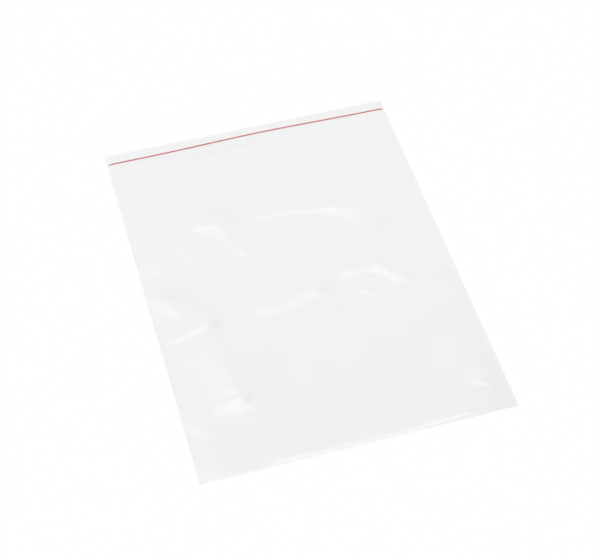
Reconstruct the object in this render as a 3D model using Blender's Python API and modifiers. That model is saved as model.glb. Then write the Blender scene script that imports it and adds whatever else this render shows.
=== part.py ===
"""Clear zipper bag with a press-to-close zip, lying flat and empty on its back.

Metres, +Z up. X runs across the bag, +Y points to its mouth, and the underside lies at z = 0.
The bag is one film: a back wall and a front wall that meet in a bottom fold and in two side welds.
The zip runs across it a little below the mouth: a hooked channel that is part of the back wall, and
a red rib with an arrow head, which belongs to the front wall and sits pressed into the channel.
"""
import math

import bmesh
import bpy
from mathutils import Matrix, Vector

# Bag: overall size and film
BAG_WIDTH = 0.229
BAG_LENGTH = 0.308
FILM = 0.00005
LIP = 0.009                 # mouth edge to the middle of the zip

# Clear heights between the two walls
REST_GAP = 0.0005           # where the film lies slack; also the width of the bottom fold inside
MOUTH_GAP = 0.001

# Side welds: the slack film closes over SIDE_TAPER, and ends in a bead of melted film
SIDE_TAPER = 0.018
BEAD_WALL = 0.00016
BEAD_WIDTH = 0.0006

# Zip section
CHANNEL_FLOOR = 0.00015
HOOK_ARM = 0.00028
HOOK_TOP = 0.0002
HEAD_WIDTH = 0.0007
HEAD_HEIGHT = 0.00035
NOSE_WIDTH = 0.0003
NOSE_HEIGHT = 0.0002        # slanted part of the head
STEM_WIDTH = 0.00028
RIB_FOOT = 0.00012
RIB_FOOT_WIDTH = 0.0007
CORNER = 0.00006            # how far the rounding of a corner reaches along its sides
ZIP_CLEARANCE = 0.0001      # running clearance between rib and channel
RIB_SEAT = 0.00002          # rib foot to the front wall
CHANNEL_BITE = 0.00002      # how far the channel is melted into the back wall

# Film around the zip
ZIP_CRUSH = 0.006           # the zip is pressed flat over this length at its ends
ZIP_MARGIN = 0.0004         # level film on either side of the channel
ZIP_BOW = 0.011             # length over which the film bends down from the stiff zip to the slack bag

# Mesh: how many cells the open part of the front wall has each way
CELLS_ACROSS = 34
CELLS_ALONG = 42
CORNER_STEPS = 3
LEVEL_MARGIN = FILM / 1000  # points this close to the back wall's level count as flat

# Sizes that follow from the above
HALF_WIDTH = BAG_WIDTH / 2
HALF_LENGTH = BAG_LENGTH / 2
ZIP_Y = HALF_LENGTH - LIP
HOOK_BASE = CHANNEL_FLOOR + HEAD_HEIGHT + 2 * ZIP_CLEARANCE
CHANNEL_HEIGHT = HOOK_BASE + HOOK_TOP
CHANNEL_WIDTH = HEAD_WIDTH + 2 * (ZIP_CLEARANCE + HOOK_ARM)
THROAT = STEM_WIDTH + 2 * ZIP_CLEARANCE
ZIP_HEIGHT = CHANNEL_HEIGHT + ZIP_CLEARANCE + RIB_FOOT + RIB_SEAT
ZIP_FLAT = CHANNEL_WIDTH / 2 + ZIP_MARGIN
ZIP_END = 2 * BEAD_WIDTH            # the zip stops this far inside the bag's side
FOLD_RADIUS = REST_GAP / 2

# Rolls of slack film along the zip and along the bottom fold: crest to zip, and crest to fold
ZIP_ROLL = 0.013
FOOT_ROLL = 0.004
ZIP_ROLL_Y = ZIP_Y - ZIP_ROLL
FOOT_ROLL_Y = -HALF_LENGTH + FOOT_ROLL

# Folds left in the front wall, each with a name: its route, the half widths on the route's left and
# right, its height, and how straight its flanks are, from 0 (rounded) to 1 (straight).
# A route's points are (x, y) from the middle of the bag.
FOLDS = {
    "below_zip": (((-0.140, ZIP_ROLL_Y - 0.006), (0.0, ZIP_ROLL_Y), (0.140, ZIP_ROLL_Y - 0.004)),
                  0.011, 0.030, 0.0010, 0.0),
    "arch": (((-0.086, 0.066), (-0.034, 0.064), (0.014, 0.062), (0.050, 0.055)),
             0.034, 0.008, 0.0010, 0.1),
    "arch_left": (((-0.071, 0.063), (-0.050, 0.062), (-0.027, 0.058)), 0.016, 0.012, 0.0010, 0.0),
    "arch_right": (((0.032, 0.059), (0.048, 0.055), (0.063, 0.045), (0.075, 0.022)),
                   0.026, 0.013, 0.0018, 0.6),
    "arch_branch": (((-0.050, 0.064), (-0.041, 0.050), (-0.030, 0.022)), 0.020, 0.010, 0.0013, 0.5),
    "left_streak": (((-0.088, 0.074), (-0.080, 0.049), (-0.067, 0.026)), 0.020, 0.009, 0.0011, 0.4),
    "left_edge": (((-0.124, 0.026), (-0.106, 0.036), (-0.084, 0.046)), 0.018, 0.014, 0.0018, 0.4),
    "middle": (((-0.047, -0.0245), (-0.018, -0.0205), (0.020, -0.013)), 0.026, 0.012, 0.0017, 0.6),
    "right_cluster": (((0.021, -0.003), (0.038, -0.006), (0.068, -0.008)), 0.022, 0.012, 0.0017, 0.5),
    "right_spot": (((0.056, 0.000), (0.067, -0.014), (0.076, -0.032)), 0.022, 0.011, 0.0015, 0.5),
    "right_under": (((0.032, -0.022), (0.056, -0.034)), 0.018, 0.007, 0.0009, 0.2),
    "right_fade": (((0.064, -0.026), (0.116, -0.030)), 0.020, 0.009, 0.0006, 0.0),
    "facet_top": (((-0.130, 0.014), (-0.096, -0.001), (-0.064, -0.030)), 0.014, 0.026, 0.0023, 0.7),
    "facet_foot": (((-0.120, -0.031), (-0.096, -0.033), (-0.064, -0.026)), 0.018, 0.005, 0.0008, 0.2),
    "long_facet": (((-0.068, -0.108), (-0.071, -0.084), (-0.081, -0.030)), 0.027, 0.012, 0.0024, 0.8),
    "corner_left": (((-0.120, -0.096), (-0.094, -0.122)), 0.016, 0.007, 0.0008, 0.2),
    "middle_low": (((-0.030, -0.064), (-0.016, -0.098)), 0.020, 0.008, 0.0005, 0.1),
    "right_low": (((0.070, -0.088), (0.092, -0.110)), 0.016, 0.006, 0.0006, 0.2),
    "right_crease": (((0.046, -0.052), (0.053, -0.074), (0.062, -0.096)), 0.009, 0.030, 0.0009, 0.1),
    "right_dip": (((0.070, -0.032), (0.084, -0.058)), 0.011, 0.030, 0.0008, 0.0),
    "right_valley": (((0.080, -0.046), (0.088, -0.090), (0.092, -0.200)), 0.030, 0.044, 0.0014, 0.2),
    "corner_right": (((0.084, -0.121), (0.126, -0.142)), 0.014, 0.007, 0.0010, 0.2),
    "edge_right": (((0.098, -0.058), (0.124, -0.061)), 0.010, 0.005, 0.0008, 0.1),
    "foot": (((-0.070, FOOT_ROLL_Y), (0.092, FOOT_ROLL_Y)), 0.020, FOOT_ROLL, 0.0005, 0.0),
}
FOLD_END = 0.014            # a fold rises from each of its ends over this length

# Slow waves in the front wall: direction (degrees from +X), length, height, start (share of a wave)
WAVES = ((62, 0.095, 0.00016, 0.1), (118, 0.071, 0.00012, 0.45), (14, 0.052, 0.00008, 0.8))

FILM_COLOR = (0.87, 0.88, 0.89, 0.35)
RIB_COLOR = (0.62, 0.04, 0.05, 1.0)


def clear_scene():
    """Removes every object, so the script can be run again in the same file."""
    for obj in list(bpy.data.objects):
        bpy.data.objects.remove(obj, do_unlink=True)


def new_collection(name):
    collection = bpy.data.collections.new(name)
    bpy.context.scene.collection.children.link(collection)
    return collection


def new_material(name, color, roughness):
    material = bpy.data.materials.new(name)
    material.use_nodes = True
    shader = material.node_tree.nodes["Principled BSDF"]
    shader.inputs["Base Color"].default_value = color[:3] + (1.0,)
    shader.inputs["Alpha"].default_value = color[3]
    shader.inputs["Roughness"].default_value = roughness
    shader.inputs["Metallic"].default_value = 0.0
    material.diffuse_color = color
    return material


def ease(t):
    """Rises smoothly from 0 to 1 as t goes from 0 to 1."""
    t = min(max(t, 0.0), 1.0)
    return t * t * (3.0 - 2.0 * t)


def side_opening(x, taper):
    """How far the walls are apart near a side weld: 0 at the weld, 1 from the taper's length inwards."""
    inwards = (HALF_WIDTH - abs(x)) / taper
    return math.sin(math.pi / 2 * min(max(inwards, 0.0), 1.0))


def fold_opening(y):
    """Round section of the bottom fold: 0 at its tip, 1 where both walls have left it."""
    inwards = min(max((y + HALF_LENGTH) / FOLD_RADIUS, 0.0), 1.0)
    return math.sqrt(max(0.0, 1.0 - (1.0 - inwards) ** 2))


def along_route(x, y, route):
    """Distance from (x, y) to a route, positive on its left, and how far inwards from its nearer end."""
    lengths = [math.dist(a, b) for a, b in zip(route, route[1:])]
    away = math.inf
    nearest = 0.0
    walked = 0.0
    for (ax, ay), (bx, by), length in zip(route, route[1:], lengths):
        share = ((x - ax) * (bx - ax) + (y - ay) * (by - ay)) / length ** 2
        share = min(max(share, 0.0), 1.0)
        dx = x - ax - share * (bx - ax)
        dy = y - ay - share * (by - ay)
        if math.hypot(dx, dy) < abs(away):
            away = math.copysign(math.hypot(dx, dy), (bx - ax) * dy - (by - ay) * dx)
            nearest = walked + share * length
        walked += length
    return away, min(nearest, walked - nearest)


def fold_rise(x, y, fold):
    """Height that one fold adds at (x, y): highest on its route, with a steeper and a gentler flank."""
    route, left, right, height, straightness = fold
    away, inwards = along_route(x, y, route)
    flank = left if away >= 0 else right
    rise = max(0.0, 1.0 - abs(away) / flank)
    crest = straightness * rise + (1.0 - straightness) * ease(rise)
    return height * crest * ease(inwards / FOLD_END)


def slack_gap(x, y):
    """Clear height under the front wall away from the zip, with its waves and folds."""
    gap = REST_GAP
    for angle, length, height, start in WAVES:
        along = x * math.cos(math.radians(angle)) + y * math.sin(math.radians(angle))
        gap += height * math.sin(2 * math.pi * (along / length + start))
    return gap + sum(fold_rise(x, y, fold) for fold in FOLDS.values())


def wall_gap(x, y):
    """Clear height between the walls at (x, y)."""
    from_zip = y - ZIP_Y
    at_zip = ZIP_HEIGHT * side_opening(x, ZIP_CRUSH)
    if abs(from_zip) <= ZIP_FLAT:
        return at_zip
    if from_zip > 0:
        at_mouth = MOUTH_GAP * side_opening(x, ZIP_CRUSH)
        return at_zip + (at_mouth - at_zip) * ease((from_zip - ZIP_FLAT) / (LIP - ZIP_FLAT))
    slack = slack_gap(x, y) * side_opening(x, SIDE_TAPER)
    return at_zip + (slack - at_zip) * ease((-from_zip - ZIP_FLAT) / ZIP_BOW)


def inner_height(x, y, side):
    """Height of a wall's inner face: side is 1 for the front wall and -1 for the back wall."""
    bead_lift = (BEAD_WALL - FILM) * (1.0 - ease((HALF_WIDTH - abs(x)) / (2 * BEAD_WIDTH)))
    return FILM + bead_lift + wall_gap(x, y) * (1 + side * fold_opening(y)) / 2


def stations_across():
    """Places of the mesh lines across the bag, close together at the side welds."""
    edge = [0.0, BEAD_WIDTH / 3, BEAD_WIDTH, ZIP_END, ZIP_CRUSH / 2, ZIP_CRUSH]
    left = [-HALF_WIDTH + e for e in edge]
    open_width = BAG_WIDTH - 2 * ZIP_CRUSH
    middle = [-HALF_WIDTH + ZIP_CRUSH + open_width * i / CELLS_ACROSS for i in range(1, CELLS_ACROSS)]
    return left + middle + [-x for x in reversed(left)]


def stations_along():
    """Places of the mesh lines along the bag, close together at the fold and the zip."""
    fold = [-HALF_LENGTH + FOLD_RADIUS * share for share in (0.0, 0.15, 0.5, 1.0)]
    fold += [-HALF_LENGTH + FOOT_ROLL * share for share in (0.5, 1.0)]
    zip_start = ZIP_Y - ZIP_FLAT
    bow = [zip_start - ZIP_BOW * share for share in (1.0, 0.75, 0.5, 0.25, 0.0)]
    lip = [ZIP_Y + ZIP_FLAT + (LIP - ZIP_FLAT) * share for share in (0.0, 0.3, 0.65, 1.0)]
    open_length = bow[0] - fold[-1]
    middle = [fold[-1] + open_length * i / CELLS_ALONG for i in range(1, CELLS_ALONG)]
    return fold + middle + bow + lip


def add_wall(mesh, across, along, side):
    """Adds one wall's inner face as a grid, facing out of the bag."""
    grid = bmesh.ops.create_grid(mesh, x_segments=len(across) - 1, y_segments=len(along) - 1, size=1.0)
    for vert in grid["verts"]:
        x = across[round((vert.co.x + 1) / 2 * (len(across) - 1))]
        y = along[round((vert.co.y + 1) / 2 * (len(along) - 1))]
        vert.co = (x, y, inner_height(x, y, side))
    faces = list({face for vert in grid["verts"] for face in vert.link_faces})
    if side < 0:
        bmesh.ops.reverse_faces(mesh, faces=faces)
        level = {vert for vert in mesh.verts if abs(vert.co.z - FILM) < LEVEL_MARGIN}
        bmesh.ops.dissolve_faces(mesh, faces=[face for face in faces if level.issuperset(face.verts)])


def bag_shell(collection, material):
    """The film: both walls' inner faces, open at the mouth, thickened outwards."""
    mesh = bmesh.new()
    across = stations_across()
    along = stations_along()
    add_wall(mesh, across, along, 1)
    add_wall(mesh, across, along, -1)
    bmesh.ops.remove_doubles(mesh, verts=mesh.verts, dist=FILM / 50)
    data = bpy.data.meshes.new("film_bag")
    mesh.to_mesh(data)
    mesh.free()
    data.shade_smooth()
    film = bpy.data.objects.new("film_bag", data)
    film.data.materials.append(material)
    collection.objects.link(film)

    # Wall thickness as a share of the bead's: thin film everywhere, full at the side welds
    wall = film.vertex_groups.new(name="wall")
    for vert in data.vertices:
        from_side = HALF_WIDTH - abs(vert.co.x)
        bead = 1.0 - ease(from_side / BEAD_WIDTH)
        wall.add([vert.index], (FILM + (BEAD_WALL - FILM) * bead) / BEAD_WALL, "REPLACE")
    solidify = film.modifiers.new("film thickness", "SOLIDIFY")
    solidify.thickness = BEAD_WALL
    solidify.offset = 1.0
    solidify.vertex_group = wall.name
    return film


def zip_bar(name, outline, material, collection):
    """A bar of constant section along the zip, pressed flat towards its two ends.

    The outline's points are (y from the zip's middle, height over the back wall's inner face).
    """
    curve = bpy.data.curves.new(name, "CURVE")
    curve.dimensions = "2D"
    curve.fill_mode = "BOTH"
    curve.extrude = HALF_WIDTH - ZIP_END
    spline = curve.splines.new("POLY")
    spline.points.add(len(outline) - 1)
    for point, (y, z) in zip(spline.points, outline):
        point.co = (y, z, 0.0, 1.0)
    spline.use_cyclic_u = True
    guide = bpy.data.objects.new(name + "_outline", curve)
    bpy.context.scene.collection.objects.link(guide)
    evaluated = guide.evaluated_get(bpy.context.evaluated_depsgraph_get())
    data = bpy.data.meshes.new_from_object(evaluated)
    bpy.data.objects.remove(guide, do_unlink=True)
    data.name = name

    mesh = bmesh.new()
    mesh.from_mesh(data)
    bmesh.ops.remove_doubles(mesh, verts=mesh.verts, dist=FILM / 50)
    # Local (y, z, x) to world axes
    bmesh.ops.transform(mesh, matrix=Matrix(((0, 0, 1, 0), (1, 0, 0, 0), (0, 1, 0, 0), (0, 0, 0, 1))),
                        verts=mesh.verts)
    for x in stations_across():
        if HALF_WIDTH - ZIP_CRUSH - FILM < abs(x) < HALF_WIDTH - ZIP_END - FILM:
            everything = mesh.verts[:] + mesh.edges[:] + mesh.faces[:]
            bmesh.ops.bisect_plane(mesh, geom=everything, plane_co=(x, 0, 0), plane_no=(1, 0, 0))
    for vert in mesh.verts:
        if vert.co.z > 0:
            vert.co.z *= side_opening(vert.co.x, ZIP_CRUSH)
        vert.co.y += ZIP_Y
        vert.co.z += FILM
    bmesh.ops.recalc_face_normals(mesh, faces=mesh.faces)
    mesh.to_mesh(data)
    mesh.free()
    data.materials.clear()
    data.materials.append(material)
    bar = bpy.data.objects.new(name, data)
    collection.objects.link(bar)
    return bar


def rounded(points):
    """Rounds the corners between the first and the last point of an outline."""
    smooth = [points[0]]
    for before, corner, after in zip(points, points[1:], points[2:]):
        before, corner, after = Vector(before), Vector(corner), Vector(after)
        start = corner + (before - corner) * min(0.5, CORNER / (before - corner).length)
        end = corner + (after - corner) * min(0.5, CORNER / (after - corner).length)
        for step in range(CORNER_STEPS + 1):
            t = step / CORNER_STEPS
            smooth.append(tuple(start * (1 - t) ** 2 + corner * 2 * t * (1 - t) + end * t ** 2))
    return smooth + [points[-1]]


def mirrored(right):
    """Closes the right half of an outline about the zip's middle."""
    return right + [(-y, z) for y, z in reversed(right)]


def channel_outline():
    """Hooked channel: a floor and two arms, whose hooks leave a throat for the rib's stem."""
    outer = CHANNEL_WIDTH / 2
    inner = outer - HOOK_ARM
    chamfer = HOOK_TOP / 2
    return mirrored(rounded([
        (NOSE_WIDTH / 2 + ZIP_CLEARANCE, CHANNEL_FLOOR),
        (inner, CHANNEL_FLOOR + NOSE_HEIGHT),
        (inner, HOOK_BASE),
        (THROAT / 2, HOOK_BASE),
        (THROAT / 2 + chamfer, CHANNEL_HEIGHT),
        (outer - chamfer, CHANNEL_HEIGHT),
        (outer, CHANNEL_HEIGHT - chamfer),
        (outer, -CHANNEL_BITE),
    ]))


def rib_outline():
    """Rib: an arrow head under a stem, and the foot that belongs to the front wall."""
    nose = CHANNEL_FLOOR + ZIP_CLEARANCE
    barbs = nose + HEAD_HEIGHT
    foot = CHANNEL_HEIGHT + ZIP_CLEARANCE
    return mirrored(rounded([
        (0.0, nose),
        (NOSE_WIDTH / 2, nose),
        (HEAD_WIDTH / 2, nose + NOSE_HEIGHT),
        (HEAD_WIDTH / 2, barbs),
        (STEM_WIDTH / 2, barbs),
        (STEM_WIDTH / 2, foot),
        (RIB_FOOT_WIDTH / 2, foot),
        (RIB_FOOT_WIDTH / 2, foot + RIB_FOOT),
    ])[1:])


def build_bag():
    clear_scene()
    parts = new_collection("zipper_bag")
    cutters = new_collection("zipper_bag_cutters")
    film_material = new_material("clear_film", FILM_COLOR, 0.12)
    rib_material = new_material("red_rib", RIB_COLOR, 0.35)

    film = bag_shell(parts, film_material)
    channel = zip_bar("zip_channel", channel_outline(), film_material, cutters)
    channel.hide_render = True
    channel.display_type = "WIRE"
    join = film.modifiers.new("channel on back wall", "BOOLEAN")
    join.operation = "UNION"
    join.solver = "EXACT"
    join.object = channel
    zip_bar("zip_rib", rib_outline(), rib_material, parts)


build_bag()
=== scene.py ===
"""Looks for the clear zipper bag: fine film with its folds, the zip, plain studio light and the camera."""

import math

import bmesh
import bpy
import numpy as np
from mathutils import Matrix, Vector


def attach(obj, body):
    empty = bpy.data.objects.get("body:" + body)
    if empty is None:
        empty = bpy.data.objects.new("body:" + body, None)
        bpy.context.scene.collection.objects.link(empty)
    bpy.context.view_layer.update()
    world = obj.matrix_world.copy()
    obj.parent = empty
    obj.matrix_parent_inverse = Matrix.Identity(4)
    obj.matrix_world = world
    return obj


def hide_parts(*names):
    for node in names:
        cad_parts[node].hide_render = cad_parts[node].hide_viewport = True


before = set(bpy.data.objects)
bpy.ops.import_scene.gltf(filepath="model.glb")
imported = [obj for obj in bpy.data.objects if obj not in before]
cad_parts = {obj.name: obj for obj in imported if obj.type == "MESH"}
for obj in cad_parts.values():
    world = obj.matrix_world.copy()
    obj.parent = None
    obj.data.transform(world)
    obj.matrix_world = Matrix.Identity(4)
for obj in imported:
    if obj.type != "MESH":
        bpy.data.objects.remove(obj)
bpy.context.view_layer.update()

# Bag, as in the CAD model (metres). Walls: film, lip above the zip, gaps between the walls at rest and at
# the mouth, and how far from the side welds the gap takes to open
BAG_WIDTH = 0.229
BAG_LENGTH = 0.308
FILM = 0.00005
LIP = 0.009
REST_GAP = 0.0005
MOUTH_GAP = 0.001
SIDE_TAPER = 0.018

# Side welds: length over which they crush the zip, and their bead
ZIP_CRUSH = 0.006
BEAD_WALL = 0.00016
BEAD_WIDTH = 0.0006

# Zip: hooked channel on the back wall
CHANNEL_FLOOR = 0.00015
CHANNEL_BITE = 0.00002
HOOK_ARM = 0.00028
HOOK_TOP = 0.0002

# Zip: arrow-headed rib under the front wall
HEAD_WIDTH = 0.0007
HEAD_HEIGHT = 0.00035
NOSE_WIDTH = 0.0003
NOSE_HEIGHT = 0.0002
STEM_WIDTH = 0.00028
RIB_FOOT = 0.00012
RIB_FOOT_WIDTH = 0.0007
RIB_SEAT = 0.00002
CORNER = 0.00006
ZIP_CLEARANCE = 0.0001

# Film beside the zip: flat margin, length over which it bows to its slack, and the rolls below the zip and
# at the bottom fold
ZIP_MARGIN = 0.0004
ZIP_BOW = 0.011
ZIP_ROLL = 0.013
FOOT_ROLL = 0.004

HALF_WIDTH = BAG_WIDTH / 2
HALF_LENGTH = BAG_LENGTH / 2
ZIP_Y = HALF_LENGTH - LIP
HOOK_BASE = CHANNEL_FLOOR + HEAD_HEIGHT + 2 * ZIP_CLEARANCE
CHANNEL_HEIGHT = HOOK_BASE + HOOK_TOP
CHANNEL_WIDTH = HEAD_WIDTH + 2 * (ZIP_CLEARANCE + HOOK_ARM)
THROAT = STEM_WIDTH + 2 * ZIP_CLEARANCE
ZIP_HEIGHT = CHANNEL_HEIGHT + ZIP_CLEARANCE + RIB_FOOT + RIB_SEAT
ZIP_FLAT = CHANNEL_WIDTH / 2 + ZIP_MARGIN
ZIP_END = 2 * BEAD_WIDTH
FOLD_RADIUS = REST_GAP / 2
ZIP_ROLL_Y = ZIP_Y - ZIP_ROLL
FOOT_ROLL_Y = -HALF_LENGTH + FOOT_ROLL

# Bow of the zip in the bag's plane: how far it is drawn to the mouth, about which place across the bag
# and over which half width; how far its ends stay behind; and how far down the film is drawn along
ZIP_DRAW = 0.0016
ZIP_DRAW_X = 0.012
ZIP_DRAW_WIDTH = 0.095
ZIP_DRAW_ENDS = 0.0003
ZIP_DRAW_REACH = 0.03

# Mesh: cells of the film and of the zip's even middle, rows over the bottom fold as shares of its radius,
# what counts as level, steps in a rounded corner, and the angle (degrees) from which an edge is sharp
CELL = 0.0014
ZIP_CELL = 0.006
FOLD_ROWS = (0.0, 0.05, 0.2, 0.5, 1.0)
LEVEL_MARGIN = FILM / 1000
LEVEL_NORMAL = 0.99999
CORNER_STEPS = 3
SHARP_ANGLE = 45.0

# Folds in the front wall, as in the CAD model: route, half width on its left, half width on its right,
# height, sharpness
FOLDS = {
    "below_zip": (((-0.140, ZIP_ROLL_Y - 0.006), (0.0, ZIP_ROLL_Y), (0.140, ZIP_ROLL_Y - 0.004)),
                  0.011, 0.030, 0.0010, 0.0),
    "arch": (((-0.086, 0.066), (-0.034, 0.064), (0.014, 0.062), (0.050, 0.055)),
             0.034, 0.008, 0.0010, 0.1),
    "arch_left": (((-0.071, 0.063), (-0.050, 0.062), (-0.027, 0.058)), 0.016, 0.012, 0.0010, 0.0),
    "arch_right": (((0.032, 0.059), (0.048, 0.055), (0.063, 0.045), (0.075, 0.022)),
                   0.026, 0.013, 0.0018, 0.6),
    "arch_branch": (((-0.050, 0.064), (-0.041, 0.050), (-0.030, 0.022)), 0.020, 0.010, 0.0013, 0.5),
    "left_streak": (((-0.088, 0.074), (-0.080, 0.049), (-0.067, 0.026)), 0.020, 0.009, 0.0011, 0.4),
    "left_edge": (((-0.124, 0.026), (-0.106, 0.036), (-0.084, 0.046)), 0.018, 0.014, 0.0018, 0.4),
    "middle": (((-0.047, -0.0245), (-0.018, -0.0205), (0.020, -0.013)), 0.026, 0.012, 0.0017, 0.6),
    "right_cluster": (((0.021, -0.003), (0.038, -0.006), (0.068, -0.008)), 0.022, 0.012, 0.0017, 0.5),
    "right_spot": (((0.056, 0.000), (0.067, -0.014), (0.076, -0.032)), 0.022, 0.011, 0.0015, 0.5),
    "right_under": (((0.032, -0.022), (0.056, -0.034)), 0.018, 0.007, 0.0009, 0.2),
    "right_fade": (((0.064, -0.026), (0.116, -0.030)), 0.020, 0.009, 0.0006, 0.0),
    "facet_top": (((-0.130, 0.014), (-0.096, -0.001), (-0.064, -0.030)), 0.014, 0.026, 0.0023, 0.7),
    "facet_foot": (((-0.120, -0.031), (-0.096, -0.033), (-0.064, -0.026)), 0.018, 0.005, 0.0008, 0.2),
    "long_facet": (((-0.068, -0.108), (-0.071, -0.084), (-0.081, -0.030)), 0.027, 0.012, 0.0024, 0.8),
    "corner_left": (((-0.120, -0.096), (-0.094, -0.122)), 0.016, 0.007, 0.0008, 0.2),
    "middle_low": (((-0.030, -0.064), (-0.016, -0.098)), 0.020, 0.008, 0.0005, 0.1),
    "right_low": (((0.070, -0.088), (0.092, -0.110)), 0.016, 0.006, 0.0006, 0.2),
    "right_crease": (((0.046, -0.052), (0.053, -0.074), (0.062, -0.096)), 0.009, 0.030, 0.0009, 0.1),
    "right_dip": (((0.070, -0.032), (0.084, -0.058)), 0.011, 0.030, 0.0008, 0.0),
    "right_valley": (((0.080, -0.046), (0.088, -0.090), (0.092, -0.200)), 0.030, 0.044, 0.0014, 0.2),
    "corner_right": (((0.084, -0.121), (0.126, -0.142)), 0.014, 0.007, 0.0010, 0.2),
    "edge_right": (((0.098, -0.058), (0.124, -0.061)), 0.010, 0.005, 0.0008, 0.1),
    "foot": (((-0.070, FOOT_ROLL_Y), (0.092, FOOT_ROLL_Y)), 0.020, FOOT_ROLL, 0.0005, 0.0),
}
FOLD_END = 0.014

# Crinkles along the sharper folds: how many waves, their shortest and longest length, and a wave's height
# as a share of the fold's, for each metre of the wave's length
CRINKLE_COUNT = 40
CRINKLE_LENGTHS = (0.007, 0.016)
CRINKLE_SHARE = 1.0
CRINKLE_SEED = 3

# Slow waves in the front wall: direction (degrees), length, height, start (turns)
WAVES = ((62, 0.095, 0.00016, 0.1), (118, 0.071, 0.00012, 0.45), (14, 0.052, 0.00008, 0.8))

# Film: what it lets through, and its haze, which runs in faint streaks along the zip (streaks per metre
# each way, their detail, the noise that maps to the least and the most haze, and those two shares)
FILM_TINT = (0.9935, 0.9935, 0.995, 1)
HAZE_COLOR = (0.9, 0.9, 0.905, 1)
HAZE_STREAKS = (8.0, 45.0, 45.0)
HAZE_DETAIL = 2.0
HAZE_NOISE = (0.3, 0.7)
HAZE_SHARE = (0.0125, 0.0165)

# Film's mirror: roughness, share seen face on, what it gains at a grazing angle, and how late it gains it
GLOSS_ROUGHNESS = 0.14
GLOSS_SHARE = 0.05
GLOSS_GAIN = 0.9
GLOSS_POWER = 5.0
EVEN_BLEND = 0.5

# Red rib: streaks per metre each way, their detail, and its darker and lighter tone with their noise. The
# lighter streaks are a painted reflection of the film that lies over the rib
RIB_PAINTED_REFLECTION_STREAKS = (55.0, 400.0, 400.0)
RIB_DETAIL = 3.0
RIB_RED_AND_PAINTED_REFLECTION = ((0.35, (0.75, 0.09, 0.075, 1)), (0.65, (0.84, 0.125, 0.105, 1)))
RIB_ROUGHNESS = 0.3

# Floor: half its size, its level just under the bag, its colour, and how much of it shows as plain white
FLOOR_HALF = 6.0
FLOOR_LEVEL = -0.0002
FLOOR_COLOR = (0.95, 0.95, 0.95, 1)
FLOOR_WHITE = 0.98

# Camera: the photograph's view (degrees, metres, millimetres)
CAMERA_AZIMUTH = 17.34
CAMERA_ELEVATION = 52.2
CAMERA_ROLL = 1.126
CAMERA_DISTANCE = 1.1128
CAMERA_AIM = (-0.0008, -0.0052, 0.0)
CAMERA_LENS = 90.0
CAMERA_SENSOR = 36.0

# Light: an even dome that is brighter above the camera and dimmer overhead, on the far side and on the
# right, and a soft spot in it.
# Each side has an axis, the cosines from it at which it starts and is full, and what it adds.
# The spot is where two such sides overlap.
DOME_LEVEL = 0.86
DOME_SIDES = (
    ((-0.3, -0.45, 0.84), (0.84, 0.93), 1.6),
    ((0.85, 0.1, 0.5), (0.68, 0.88), -0.5),
    ((0.18, 0.95, 0.1), (0.74, 0.92), -0.35),
    ((0.0, -0.1, 1.0), (0.67, 0.86), -0.33),
)
SPOT_SIDES = (
    ((-0.45, -0.7, 0.55), (0.02, 0.34)),
    ((0.05, 0.45, 0.89), (0.89, 0.955)),
)
SPOT_LEVEL = 1.15


def crinkle_waves():
    """Waves of every direction: direction (degrees), length, share of the fold's height, start (turns)."""
    random = np.random.default_rng(CRINKLE_SEED)
    directions = random.uniform(0, 180, CRINKLE_COUNT)
    lengths = random.uniform(*CRINKLE_LENGTHS, CRINKLE_COUNT)
    starts = random.uniform(0, 1, CRINKLE_COUNT)
    return [(direction, length, CRINKLE_SHARE * length, start)
            for direction, length, start in zip(directions, lengths, starts)]


CRINKLES = crinkle_waves()


def ease(t):
    t = np.clip(t, 0.0, 1.0)
    return t * t * (3.0 - 2.0 * t)


def side_opening(x, taper):
    """Share of the walls' full gap that is open at x, which grows from the side weld over the taper."""
    inwards = (HALF_WIDTH - np.abs(x)) / taper
    return np.sin(math.pi / 2 * np.clip(inwards, 0.0, 1.0))


def fold_opening(y):
    """Share of the walls' full gap that is open at y, which grows round the bottom fold."""
    inwards = np.clip((y + HALF_LENGTH) / FOLD_RADIUS, 0.0, 1.0)
    return np.sqrt(np.maximum(0.0, 1.0 - (1.0 - inwards) ** 2))


def along_route(x, y, route):
    """Signed distance from a route, positive on its left, and how far along it lies from the nearer end."""
    points = np.array(route)
    steps = np.diff(points, axis=0)
    lengths = np.hypot(steps[:, 0], steps[:, 1])
    away = np.full(np.shape(x), np.inf)
    walked = np.zeros(np.shape(x))
    before = 0.0
    for start, step, length in zip(points, steps, lengths):
        share = np.clip(((x - start[0]) * step[0] + (y - start[1]) * step[1]) / length ** 2, 0.0, 1.0)
        dx = x - start[0] - share * step[0]
        dy = y - start[1] - share * step[1]
        distance = np.hypot(dx, dy) * np.where(step[0] * dy - step[1] * dx >= 0, 1.0, -1.0)
        nearer = np.abs(distance) < np.abs(away)
        away = np.where(nearer, distance, away)
        walked = np.where(nearer, before + share * length, walked)
        before += length
    return away, np.minimum(walked, before - walked)


def ripples(x, y, waves):
    total = np.zeros(np.shape(x))
    for angle, length, height, turn in waves:
        along = x * math.cos(math.radians(angle)) + y * math.sin(math.radians(angle))
        total = total + height * np.sin(2 * math.pi * (along / length + turn))
    return total


def slack_gap(x, y):
    """Height of the front wall's slack over the flat back wall."""
    gap = REST_GAP + ripples(x, y, WAVES)
    crinkle = ripples(x, y, CRINKLES)
    for route, left, right, height, sharpness in FOLDS.values():
        away, inwards = along_route(x, y, route)
        rise = np.clip(1.0 - np.abs(away) / np.where(away >= 0, left, right), 0.0, 1.0)
        crest = sharpness * rise + (1.0 - sharpness) * ease(rise)
        gap = gap + height * crest * ease(inwards / FOLD_END) * (1.0 + sharpness * crinkle)
    return np.maximum(gap, FILM)


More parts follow.
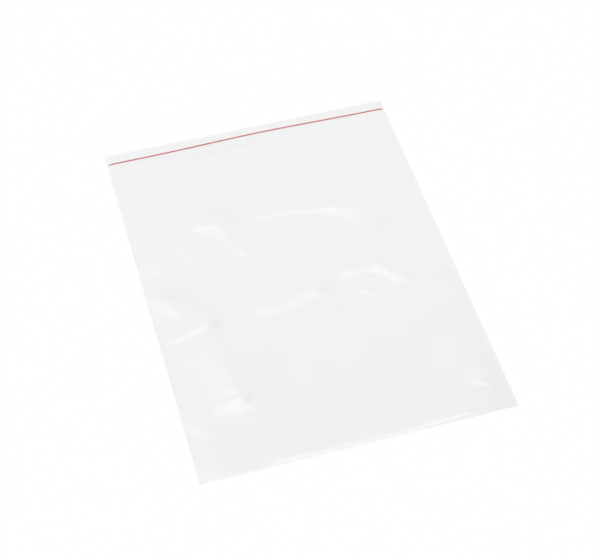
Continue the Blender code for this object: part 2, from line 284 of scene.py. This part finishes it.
def wall_gap(x, y):
    """Gap between the walls: the zip's height along the zip, the lips above it and the slack below it."""
    from_zip = y - ZIP_Y
    opening = side_opening(x, ZIP_CRUSH)
    zip_gap = ZIP_HEIGHT * opening
    lip = zip_gap + (MOUTH_GAP * opening - zip_gap) * ease((from_zip - ZIP_FLAT) / (LIP - ZIP_FLAT))
    slack = slack_gap(x, y) * side_opening(x, SIDE_TAPER)
    body = zip_gap + (slack - zip_gap) * ease((-from_zip - ZIP_FLAT) / ZIP_BOW)
    return np.where(from_zip > 0, lip, body)


def inner_height(x, y, side):
    """Height of the front wall's (side 1) or the back wall's (side -1) inner face."""
    bead_lift = (BEAD_WALL - FILM) * (1.0 - ease((HALF_WIDTH - np.abs(x)) / (2 * BEAD_WIDTH)))
    return FILM + bead_lift + wall_gap(x, y) * (1 + side * fold_opening(y)) / 2


def spread(start, end, cell):
    """Even places from start to end, about a cell apart, without the last."""
    count = max(1, round((end - start) / cell))
    return [start + (end - start) * i / count for i in range(count)]


def stations_across():
    edge = [0.0, BEAD_WIDTH / 3, BEAD_WIDTH * 2 / 3, BEAD_WIDTH, ZIP_END]
    edge += spread(ZIP_END, ZIP_CRUSH, CELL)[1:]
    left = [-HALF_WIDTH + e for e in edge]
    middle = spread(-HALF_WIDTH + ZIP_CRUSH, HALF_WIDTH - ZIP_CRUSH, CELL)
    return np.array(left + middle + [HALF_WIDTH - ZIP_CRUSH] + [-x for x in reversed(left)])


def stations_along():
    fold = [-HALF_LENGTH + FOLD_RADIUS * share for share in FOLD_ROWS]
    middle = spread(fold[-1], ZIP_Y - ZIP_FLAT, CELL)[1:]
    over_zip = spread(ZIP_Y - ZIP_FLAT, ZIP_Y + ZIP_FLAT, CELL)
    lip = spread(ZIP_Y + ZIP_FLAT, HALF_LENGTH, CELL)
    return np.array(fold + middle + over_zip + lip + [HALF_LENGTH])


def new_piece(name, verts, faces, material):
    data = bpy.data.meshes.new(name)
    data.from_pydata([tuple(v) for v in verts], [], faces)
    data.validate()
    data.shade_smooth()
    data.materials.append(material)
    piece = bpy.data.objects.new(name, data)
    bpy.context.scene.collection.objects.link(piece)
    return piece


def apply_modifiers(piece):
    """Applies the modifiers; thin rims stay crisp, and the back wall's large flat faces are shaded flat."""
    evaluated = piece.evaluated_get(bpy.context.evaluated_depsgraph_get())
    data = bpy.data.meshes.new_from_object(evaluated)
    piece.modifiers.clear()
    data.set_sharp_from_angle(angle=math.radians(SHARP_ANGLE))
    for polygon in data.polygons:
        if polygon.loop_total > 4 and abs(polygon.normal.z) > LEVEL_NORMAL:
            polygon.use_smooth = False
    piece.data = data


def merge_level_faces(data):
    """Joins the faces that lie flat on the back wall's level, which need no mesh of their own."""
    mesh = bmesh.new()
    mesh.from_mesh(data)
    level = {vert for vert in mesh.verts if abs(vert.co.z - FILM) < LEVEL_MARGIN}
    bmesh.ops.dissolve_faces(mesh, faces=[face for face in mesh.faces if level.issuperset(face.verts)])
    mesh.to_mesh(data)
    mesh.free()


def film_shell(material):
    """Both walls' inner faces as one open surface, thickened outwards into film."""
    x, y = np.meshgrid(stations_across(), stations_along())
    front = np.stack([x, y, inner_height(x, y, 1)], axis=-1)
    back = np.stack([x, y, inner_height(x, y, -1)], axis=-1)
    rows, columns = x.shape
    index_front = np.arange(rows * columns).reshape(rows, columns)
    index_back = index_front + rows * columns
    index_back[0, :] = index_front[0, :]
    index_back[:, 0] = index_front[:, 0]
    index_back[:, -1] = index_front[:, -1]
    faces = []
    for j in range(rows - 1):
        for i in range(columns - 1):
            a, b, c, d = (j, i), (j, i + 1), (j + 1, i + 1), (j + 1, i)
            faces.append([int(index_front[k]) for k in (a, b, c, d)])
            faces.append([int(index_back[k]) for k in (d, c, b, a)])
    verts = np.concatenate([front.reshape(-1, 3), back.reshape(-1, 3)])
    used = sorted({k for face in faces for k in face})
    place = {old: new for new, old in enumerate(used)}
    faces = [[place[k] for k in face] for face in faces]
    shell = new_piece("film", verts[used], faces, material)
    merge_level_faces(shell.data)

    wall = shell.vertex_groups.new(name="wall")
    for vert in shell.data.vertices:
        bead = 1.0 - float(ease((HALF_WIDTH - abs(vert.co.x)) / BEAD_WIDTH))
        wall.add([vert.index], (FILM + (BEAD_WALL - FILM) * bead) / BEAD_WALL, "REPLACE")
    solidify = shell.modifiers.new("film thickness", "SOLIDIFY")
    solidify.thickness = BEAD_WALL
    solidify.offset = 1.0
    solidify.vertex_group = wall.name
    return shell


def rounded(points):
    """Rounds the corners between the first and the last point of an outline."""
    smooth = [points[0]]
    for before, corner, after in zip(points, points[1:], points[2:]):
        before, corner, after = Vector(before), Vector(corner), Vector(after)
        start = corner + (before - corner) * min(0.5, CORNER / (before - corner).length)
        end = corner + (after - corner) * min(0.5, CORNER / (after - corner).length)
        for step in range(CORNER_STEPS + 1):
            t = step / CORNER_STEPS
            smooth.append(tuple(start * (1 - t) ** 2 + corner * 2 * t * (1 - t) + end * t ** 2))
    return smooth + [points[-1]]


def mirrored(right):
    return right + [(-y, z) for y, z in reversed(right)]


def channel_outline():
    """Channel: two hooks over a hollow that follows the rib's head, open at the throat."""
    outer = CHANNEL_WIDTH / 2
    inner = outer - HOOK_ARM
    chamfer = HOOK_TOP / 2
    return mirrored(rounded([
        (NOSE_WIDTH / 2 + ZIP_CLEARANCE, CHANNEL_FLOOR),
        (inner, CHANNEL_FLOOR + NOSE_HEIGHT),
        (inner, HOOK_BASE),
        (THROAT / 2, HOOK_BASE),
        (THROAT / 2 + chamfer, CHANNEL_HEIGHT),
        (outer - chamfer, CHANNEL_HEIGHT),
        (outer, CHANNEL_HEIGHT - chamfer),
        (outer, -CHANNEL_BITE),
    ]))


def rib_outline():
    """Rib: an arrow head under a stem, and the foot that belongs to the front wall."""
    nose = CHANNEL_FLOOR + ZIP_CLEARANCE
    barbs = nose + HEAD_HEIGHT
    foot = CHANNEL_HEIGHT + ZIP_CLEARANCE
    return mirrored(rounded([
        (0.0, nose),
        (NOSE_WIDTH / 2, nose),
        (HEAD_WIDTH / 2, nose + NOSE_HEIGHT),
        (HEAD_WIDTH / 2, barbs),
        (STEM_WIDTH / 2, barbs),
        (STEM_WIDTH / 2, foot),
        (RIB_FOOT_WIDTH / 2, foot),
        (RIB_FOOT_WIDTH / 2, foot + RIB_FOOT),
    ])[1:])


def zip_bar(name, outline, material):
    """A bar of constant section along the zip, pressed flat towards its two ends."""
    end = HALF_WIDTH - ZIP_END
    crushed = HALF_WIDTH - ZIP_CRUSH
    across = spread(-end, -crushed, CELL) + spread(-crushed, crushed, ZIP_CELL)
    across += spread(crushed, end, CELL) + [end]
    verts = []
    for x in across:
        pressed = float(side_opening(x, ZIP_CRUSH))
        for y, z in outline:
            verts.append((x, ZIP_Y + y, FILM + z * (pressed if z > 0 else 1.0)))
    count = len(outline)
    faces = [list(range(count))[::-1], [(len(across) - 1) * count + k for k in range(count)]]
    for j in range(len(across) - 1):
        for k in range(count):
            following = (k + 1) % count
            faces.append([j * count + k, j * count + following,
                          (j + 1) * count + following, (j + 1) * count + k])
    bar = new_piece(name, verts, faces, material)
    mesh = bmesh.new()
    mesh.from_mesh(bar.data)
    bmesh.ops.recalc_face_normals(mesh, faces=mesh.faces)
    mesh.to_mesh(bar.data)
    mesh.free()
    return bar


def draw_zip(data):
    """Bows the zip and the film beside it towards the mouth, in the plane of the bag."""
    places = np.empty(3 * len(data.vertices))
    data.vertices.foreach_get("co", places)
    x, y = places[0::3], places[1::3]
    from_zip = y - ZIP_Y
    above = 1.0 - ease((from_zip - ZIP_FLAT) / (LIP - ZIP_FLAT))
    below = 1.0 - ease((-from_zip - ZIP_FLAT) / ZIP_DRAW_REACH)
    bow = ZIP_DRAW * ease(1.0 - np.abs(x - ZIP_DRAW_X) / ZIP_DRAW_WIDTH) - ZIP_DRAW_ENDS
    places[1::3] = y + bow * np.where(from_zip > 0, above, below)
    data.vertices.foreach_set("co", places)
    data.update()


def empty_material(name):
    """A material with an output alone, its node tree and the socket that its surface goes to."""
    material = bpy.data.materials.new(name)
    material.use_nodes = True
    tree = material.node_tree
    tree.nodes.clear()
    return material, tree, tree.nodes.new("ShaderNodeOutputMaterial").inputs["Surface"]


def math_node(tree, operation, *values):
    """The result of a math node; each value is a number or the socket that feeds it."""
    node = tree.nodes.new("ShaderNodeMath")
    node.operation = operation
    for socket, value in zip(node.inputs, values):
        if isinstance(value, float):
            socket.default_value = value
        else:
            tree.links.new(value, socket)
    return node.outputs[0]


def map_range(tree, value, before, after, interpolation="LINEAR"):
    node = tree.nodes.new("ShaderNodeMapRange")
    node.interpolation_type = interpolation
    node.inputs["From Min"].default_value, node.inputs["From Max"].default_value = before
    node.inputs["To Min"].default_value, node.inputs["To Max"].default_value = after
    tree.links.new(value, node.inputs["Value"])
    return node.outputs["Result"]


def mix_shaders(tree, share, first, second):
    node = tree.nodes.new("ShaderNodeMixShader")
    for socket, value in zip(node.inputs, (share, first, second)):
        tree.links.new(value, socket)
    return node.outputs[0]


def streak_noise(tree, streaks, detail):
    """Noise in the piece's own frame, with so many streaks per metre each way."""
    place = tree.nodes.new("ShaderNodeTexCoord")
    stretch = tree.nodes.new("ShaderNodeMapping")
    stretch.inputs["Scale"].default_value = streaks
    tree.links.new(place.outputs["Object"], stretch.inputs["Vector"])
    noise = tree.nodes.new("ShaderNodeTexNoise")
    noise.inputs["Scale"].default_value = 1.0
    noise.inputs["Detail"].default_value = detail
    tree.links.new(stretch.outputs["Vector"], noise.inputs["Vector"])
    return noise.outputs[0]


def film_material():
    """Clear polyethylene: see-through, with a faint haze and a thin mirror that grows at grazing angles."""
    material, tree, surface = empty_material("clear_film")
    clear = tree.nodes.new("ShaderNodeBsdfTransparent")
    clear.inputs["Color"].default_value = FILM_TINT
    haze = tree.nodes.new("ShaderNodeBsdfDiffuse")
    haze.inputs["Color"].default_value = HAZE_COLOR
    haze_share = map_range(tree, streak_noise(tree, HAZE_STREAKS, HAZE_DETAIL), HAZE_NOISE, HAZE_SHARE)
    body = mix_shaders(tree, haze_share, clear.outputs[0], haze.outputs[0])

    gloss = tree.nodes.new("ShaderNodeBsdfGlossy")
    gloss.inputs["Roughness"].default_value = GLOSS_ROUGHNESS
    facing = tree.nodes.new("ShaderNodeLayerWeight")
    facing.inputs["Blend"].default_value = EVEN_BLEND
    grazing = math_node(tree, "POWER", facing.outputs["Facing"], GLOSS_POWER)
    mirror_share = math_node(tree, "MULTIPLY_ADD", grazing, GLOSS_GAIN, GLOSS_SHARE)
    tree.links.new(mix_shaders(tree, mirror_share, body, gloss.outputs[0]), surface)
    return material


def rib_material():
    """Red polyethylene, a little lighter and darker along its length; the lighter streaks are a painted
    reflection of the film that lies over it.
    """
    material = bpy.data.materials.new("red_rib")
    material.use_nodes = True
    tree = material.node_tree
    shader = tree.nodes["Principled BSDF"]
    shader.inputs["Roughness"].default_value = RIB_ROUGHNESS
    red_and_painted_reflection = tree.nodes.new("ShaderNodeValToRGB")
    for element, (position, color) in zip(red_and_painted_reflection.color_ramp.elements, RIB_RED_AND_PAINTED_REFLECTION):
        element.position = position
        element.color = color
    # The noise streaks paint the film's reflection into the rib's red
    tree.links.new(streak_noise(tree, RIB_PAINTED_REFLECTION_STREAKS, RIB_DETAIL), red_and_painted_reflection.inputs["Fac"])
    tree.links.new(red_and_painted_reflection.outputs["Color"], shader.inputs["Base Color"])
    return material


def light_scene():
    """A dome of soft light with its brighter and dimmer sides and its spot."""
    world = bpy.data.worlds.new("studio")
    bpy.context.scene.world = world
    world.use_nodes = True
    tree = world.node_tree
    direction = tree.nodes.new("ShaderNodeTexCoord").outputs["Generated"]

    def side(axis, cosines, change=1.0):
        toward = tree.nodes.new("ShaderNodeVectorMath")
        toward.operation = "DOT_PRODUCT"
        toward.inputs[1].default_value = Vector(axis).normalized()
        tree.links.new(direction, toward.inputs[0])
        return map_range(tree, toward.outputs["Value"], cosines, (0.0, change), "SMOOTHSTEP")

    spot = math_node(tree, "MULTIPLY", *[side(axis, cosines) for axis, cosines in SPOT_SIDES])
    light = math_node(tree, "MULTIPLY_ADD", spot, SPOT_LEVEL, DOME_LEVEL)
    for axis, cosines, change in DOME_SIDES:
        light = math_node(tree, "ADD", light, side(axis, cosines, change))
    tree.links.new(light, tree.nodes["Background"].inputs["Color"])


def floor_material():
    """Plain white where it is seen, straight or mirrored, with a little of the bag's shadow."""
    material, tree, surface = empty_material("white_floor")
    shaded = tree.nodes.new("ShaderNodeBsdfDiffuse")
    shaded.inputs["Color"].default_value = FLOOR_COLOR
    white = tree.nodes.new("ShaderNodeEmission")
    path = tree.nodes.new("ShaderNodeLightPath")
    seen = path.outputs["Is Camera Ray"]
    for kind in ("Is Glossy Ray", "Is Transmission Ray"):
        seen = math_node(tree, "MAXIMUM", seen, path.outputs[kind])
    share = math_node(tree, "MULTIPLY", seen, FLOOR_WHITE)
    tree.links.new(mix_shaders(tree, share, shaded.outputs[0], white.outputs[0]), surface)
    return material


def add_floor():
    corners = [(x * FLOOR_HALF, y * FLOOR_HALF, FLOOR_LEVEL) for x, y in ((-1, -1), (1, -1), (1, 1), (-1, 1))]
    floor = new_piece("floor", corners, [[0, 1, 2, 3]], floor_material())


def add_camera():
    data = bpy.data.cameras.new("camera")
    data.lens = CAMERA_LENS
    data.sensor_width = CAMERA_SENSOR
    camera = bpy.data.objects.new("camera", data)
    azimuth, elevation = math.radians(CAMERA_AZIMUTH), math.radians(CAMERA_ELEVATION)
    forward = Vector((math.sin(azimuth) * math.cos(elevation),
                      math.cos(azimuth) * math.cos(elevation), -math.sin(elevation)))
    right = Vector((math.cos(azimuth), -math.sin(azimuth), 0.0))
    up = right.cross(forward)
    roll = math.radians(CAMERA_ROLL)
    rolled_right = right * math.cos(roll) + up * math.sin(roll)
    rolled_up = up * math.cos(roll) - right * math.sin(roll)
    axes = Matrix((rolled_right, rolled_up, -forward)).transposed().to_4x4()
    camera.matrix_world = Matrix.Translation(Vector(CAMERA_AIM) - forward * CAMERA_DISTANCE) @ axes
    bpy.context.scene.collection.objects.link(camera)
    bpy.context.scene.camera = camera


add_camera()
light_scene()
add_floor()

clear_film = film_material()
film = film_shell(clear_film)
channel = zip_bar("zip_channel_cutter", channel_outline(), clear_film)
join = film.modifiers.new("channel on back wall", "BOOLEAN")
join.operation = "UNION"
join.solver = "EXACT"
join.object = channel
apply_modifiers(film)
bpy.data.objects.remove(channel, do_unlink=True)
draw_zip(film.data)
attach(film, "root")
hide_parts("film_bag")

rib = zip_bar("rib", rib_outline(), rib_material())
rib.data.set_sharp_from_angle(angle=math.radians(SHARP_ANGLE))
draw_zip(rib.data)
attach(rib, "root")
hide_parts("zip_rib")

bpy.context.scene.view_settings.view_transform = "Standard"
